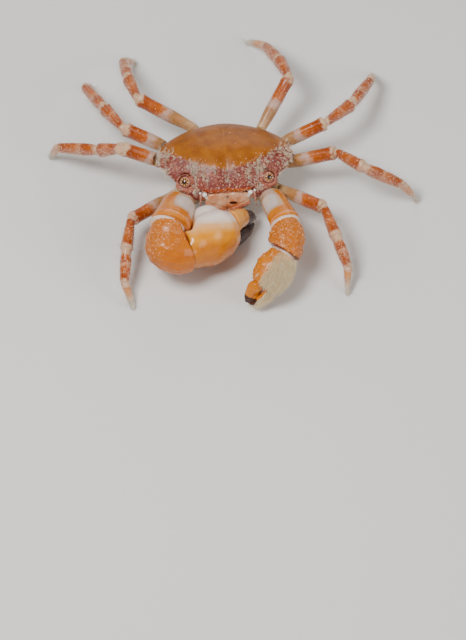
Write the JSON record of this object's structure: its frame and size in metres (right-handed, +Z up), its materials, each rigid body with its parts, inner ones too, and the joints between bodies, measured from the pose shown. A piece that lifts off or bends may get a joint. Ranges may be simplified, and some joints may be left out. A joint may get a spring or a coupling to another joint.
{
  "type": "crab figure",
  "caption": "Small hairy rubble crab in life size, standing on its walking legs, with one massive claw folded across the mouth and one slender claw reaching down.",
  "frame": {"origin": "on the floor, under the middle of the crab's whole box", "axes": "+Z up, -Y the way the crab faces, +X towards the crab's left side; the body is pitched 16 degrees nose up"},
  "size_m": [0.0384, 0.0352, 0.0091],
  "materials": {
    "shell": "glossy orange-brown shell",
    "belly": "satin cream underside plates",
    "limb": "satin orange-red leg shell with pale bands",
    "claw": "glossy orange claw shell",
    "finger": "polished dark brown claw tips",
    "eye": "glossy dark cornea"
  },
  "bodies": {
    "root": {"abdomen": "belly", "antenna_left": "limb", "antenna_right": "limb", "carapace": "shell", "claw_left_carpus": "claw", "claw_left_finger": "finger", "claw_left_hand": "claw", "claw_left_hip": "belly", "claw_left_merus": "claw", "claw_right_carpus": "claw", "claw_right_finger": "finger", "claw_right_hand": "claw", "claw_right_hip": "belly", "claw_right_merus": "claw", "eye_left": "eye", "eye_right": "eye", "leg_left_1_carpus": "limb", "leg_left_1_dactylus": "limb", "leg_left_1_hip": "limb", "leg_left_1_merus": "limb", "leg_left_1_propodus": "limb", "leg_left_2_carpus": "limb", "leg_left_2_dactylus": "limb", "leg_left_2_hip": "limb", "leg_left_2_merus": "limb", "leg_left_2_propodus": "limb", "leg_left_3_carpus": "limb", "leg_left_3_dactylus": "limb", "leg_left_3_hip": "limb", "leg_left_3_merus": "limb", "leg_left_3_propodus": "limb", "leg_left_4_carpus": "limb", "leg_left_4_dactylus": "limb", "leg_left_4_hip": "limb", "leg_left_4_merus": "limb", "leg_left_4_propodus": "limb", "leg_right_1_carpus": "limb", "leg_right_1_dactylus": "limb", "leg_right_1_hip": "limb", "leg_right_1_merus": "limb", "leg_right_1_propodus": "limb", "leg_right_2_carpus": "limb", "leg_right_2_dactylus": "limb", "leg_right_2_hip": "limb", "leg_right_2_merus": "limb", "leg_right_2_propodus": "limb", "leg_right_3_carpus": "limb", "leg_right_3_dactylus": "limb", "leg_right_3_hip": "limb", "leg_right_3_merus": "limb", "leg_right_3_propodus": "limb", "leg_right_4_carpus": "limb", "leg_right_4_dactylus": "limb", "leg_right_4_hip": "limb", "leg_right_4_merus": "limb", "leg_right_4_propodus": "limb", "maxilliped_left": "shell", "maxilliped_right": "shell", "sternum": "belly"}
  },
  "joints": []
}
